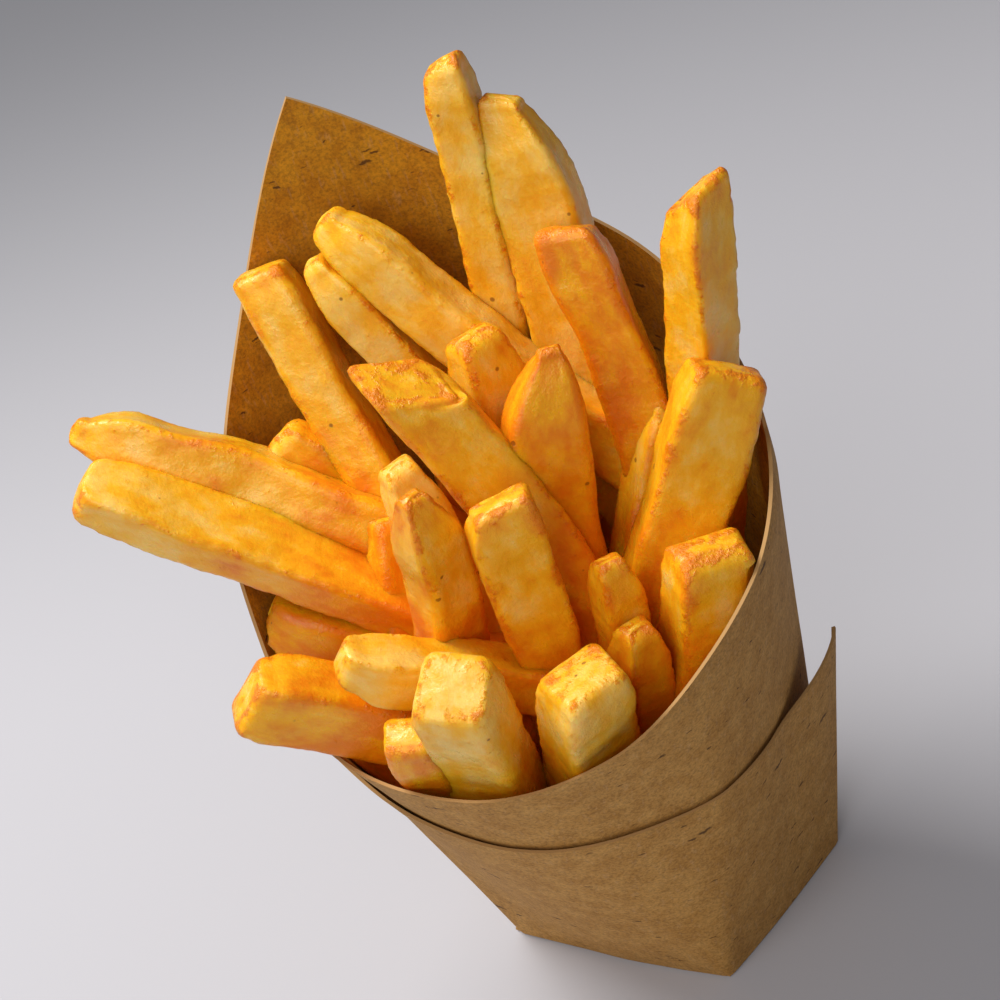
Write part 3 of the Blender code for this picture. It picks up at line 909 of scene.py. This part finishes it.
# The layer below: the same cut fries, standing at all angles. They show only in the gaps
# between the fries on top, and are set out on a spiral so that they fill the cone evenly.
# Their tone is drawn deeper amber than the fries on top, as painted shade in those gaps.
BELOW_COUNT = 32
BELOW_SEED = 7
BELOW_RISE = 16
BELOW_LENGTH = 38
BELOW_ROUNDING = 0.42
BELOW_MARGIN = 8
GOLDEN_ANGLE = 137.5


def fries_below():
    draw = random.Random(BELOW_SEED)
    for index in range(BELOW_COUNT):
        turn = math.radians(index * GOLDEN_ANGLE)
        reach = (MOUTH_RADIUS - BELOW_MARGIN) * math.sqrt((index + 0.5) / BELOW_COUNT)
        x = MOUTH_CENTRE[0] + reach * math.cos(turn)
        y = MOUTH_CENTRE[1] + reach * math.sin(turn)
        top = core_height(Vector((x, y, 0))) + BELOW_RISE + draw.uniform(-5, 4)
        tip = (x + draw.uniform(-3, 3), y + draw.uniform(-3, 3), top)
        foot = (x * 0.75 + draw.uniform(-4, 4), y * 0.75 + draw.uniform(-4, 4),
                top - BELOW_LENGTH)
        section = (draw.uniform(8, 9.5), draw.uniform(7.5, 9), draw.uniform(-45, 45),
                   draw.uniform(-1, 1))
        end = (draw.uniform(0.5, 0.85), draw.uniform(-0.5, 0.5), draw.uniform(4, 8),
               BELOW_ROUNDING)
        # The first look value, the tone, is drawn deep: painted shade for the gaps.
        yield tip, foot, section, end, (0, 0), (draw.uniform(0.6, 1.1), 1.0, index + 40)


add_fries("fries_below", fries_below())


# The fries at the back: sticks of fried potato, pale gold but for one amber one. They stand
# tallest, with their feet in the heap, most of them against the tall back of the card.
BACK_FRIES = (
    ((10, 32, 149), (0, 16, 60), (8, 7.5, -28, 1), (0.8, 0.1, 6, 0.4), (-2, 0),
     (0.2, 1.0, 1)),
    ((17.5, 28, 142), (10.5, 7, 58), (12, 8, -25, 0.5), (0.55, -0.5, 14, 0.35), (1, 0),
     (0.3, 0.8, 2)),
    ((18, 14, 127), (17, -6, 64), (9.5, 8, -20, 2), (0.9, -0.2, 5, 0.3), (1, -1),
     (0.85, 1.0, 3)),
    ((-13.8, 33, 130), (18, 4, 87), (10, 8, -10, -1.5), (0.65, -0.5, 9, 0.4), (0, 0),
     (0.25, 0.9, 4)),
    ((-18, 31, 124.5), (7, 12, 74), (8, 8, -10, -1), (0.65, -0.2, 8, 0.42), (0, 0),
     (0.3, 0.9, 5)),
    ((-26, 35, 123.5), (-13, 0, 64), (9, 9, -15, -1), (0.92, -0.2, 4, 0.22), (1, 0),
     (0.4, 0.9, 6)),
    ((-33, 22, 102), (-6, 14, 62), (11, 9, 0, 0), (0.7, 0.3, 8, 0.45), (0, 0),
     (0.3, 1.0, 7)),
)
add_fries("fries_back", BACK_FRIES)


# The fries on the right: two thick sticks of fried potato lean on the card's edge with a
# thin one between them, and one stands low in the front corner.
RIGHT_FRIES = (
    ((36, 3, 134), (18.5, -4, 58), (9.5, 8.5, 35, 1), (0.85, 0.9, 8, 0.22), (-2, -4),
     (0.35, 1.0, 8)),
    ((32, -10, 112), (-3, -17, 56), (13, 8.5, -15, 1), (0.92, 0.2, 4, 0.25), (0, -1),
     (0.45, 1.1, 9)),
    ((24, 4, 99), (0, -12, 55), (9, 8, 10, 0), (0.8, 0, 5, 0.4), (0, 0),
     (0.3, 0.7, 10)),
    ((21, -26, 96), (9, -23, 54), (13.5, 9.5, 8, 1), (0.92, 0.2, 4, 0.4), (-1, 0),
     (0.4, 1.1, 11)),
)
add_fries("fries_right", RIGHT_FRIES)


# The middle of the heap: sticks of fried potato that cross at several angles, held up by the
# fries around them. They are golden on top and painted deeper amber low down, as shade.
MIDDLE_FRIES = (
    ((0, 10, 118), (0, 3, 62), (10.5, 9, 25, 0), (0.8, -0.1, 7, 0.45), (0, 0),
     (0.4, 0.9, 12)),
    ((-12, 2, 121), (3, -14, 60), (12, 9, 5, 3), (0.92, -0.2, 5, 0.18), (6, 5),
     (0.5, 1.0, 13)),
    ((7.5, 0, 119), (0, -7, 54), (13, 9.5, 0, -2), (0.3, 0.4, 13, 0.4), (0, 0),
     (0.85, 1.0, 14)),
    ((-17, 5, 104), (-12, -1, 60), (8.5, 8, 20, 0), (0.75, 0, 6, 0.45), (0, 0),
     (0.15, 0.4, 15)),
    ((-21, 8, 92), (-28, -3, 58), (8, 8, 10, 0), (0.8, 0, 5, 0.4), (0, 0),
     (0.5, 0.8, 16)),
)
add_fries("fries_middle", MIDDLE_FRIES)


# The fries in front: shorter sticks of fried potato, close together inside the low front of
# the card. The two thick ones end in square cut faces, and one lies across behind them.
FRONT_FRIES = (
    ((-15, -14, 114), (-22, -6, 56), (9, 8, 30, 0.5), (0.55, -0.4, 10, 0.4), (0, 0),
     (0.45, 1.2, 17)),
    ((-5, -18, 110.5), (-8, -14, 54), (10.5, 8, 0, 0.5), (0.85, 0.4, 5, 0.28), (-2, -1),
     (0.4, 1.2, 18)),
    ((7, -22, 96.5), (3, -15, 50), (7.5, 7.5, 12, 0), (0.75, -0.2, 5, 0.45), (0, -1),
     (0.4, 1.3, 19)),
    ((7, -28, 88), (2, -21, 52), (7.5, 7.5, 20, 0.5), (0.75, 0.2, 5, 0.45), (0, 0),
     (0.4, 1.0, 20)),
    ((-2.3, -36.5, 91.5), (-7, -25, 54), (12.5, 11.5, 25, 0), (0.94, 0, 3, 0.25), (0, -3),
     (0.12, 0.9, 21)),
    ((-20, -34, 96), (-19, -22, 56), (13, 11.5, -30, 0), (0.94, 0, 3, 0.2), (0, 2),
     (0.08, 0.7, 22)),
    ((-29, -28, 84), (-26, -18, 56), (9, 8.5, -20, 0), (0.85, 0, 4, 0.3), (0, 0),
     (0.4, 0.8, 23)),
    ((-34, -18, 93), (3, -17, 68), (9, 8.5, -5, -1.5), (0.8, 0.2, 5, 0.4), (0, 0),
     (0.15, 0.7, 24)),
)
add_fries("fries_front", FRONT_FRIES)


# The fries on the left: sticks of fried potato that lie over the low edge of the card. The
# two long ones start in the middle of the heap and reach far out.
LEFT_FRIES = (
    ((-49, -13, 88.5), (-17, -16, 65), (12, 10, -5, 0), (0.9, 0, 3, 0.25), (1, 0),
     (0.35, 1.0, 25)),
    ((-44, 10, 80), (-12, -2, 56), (12, 11, 10, 0), (0.8, 0, 6, 0.45), (0, 0),
     (0.3, 0.6, 26)),
    ((-60.5, 29, 112.5), (-2, 0, 70), (9, 8.5, 20, 3), (0.55, -0.4, 9, 0.4), (0, 0),
     (0.42, 0.85, 27)),
    ((-62, 19, 109.5), (-6, -4, 62), (8, 11, -22, 2), (0.88, 0, 5, 0.3), (0, 0),
     (0.3, 0.8, 28)),
)
add_fries("fries_left", LEFT_FRIES)
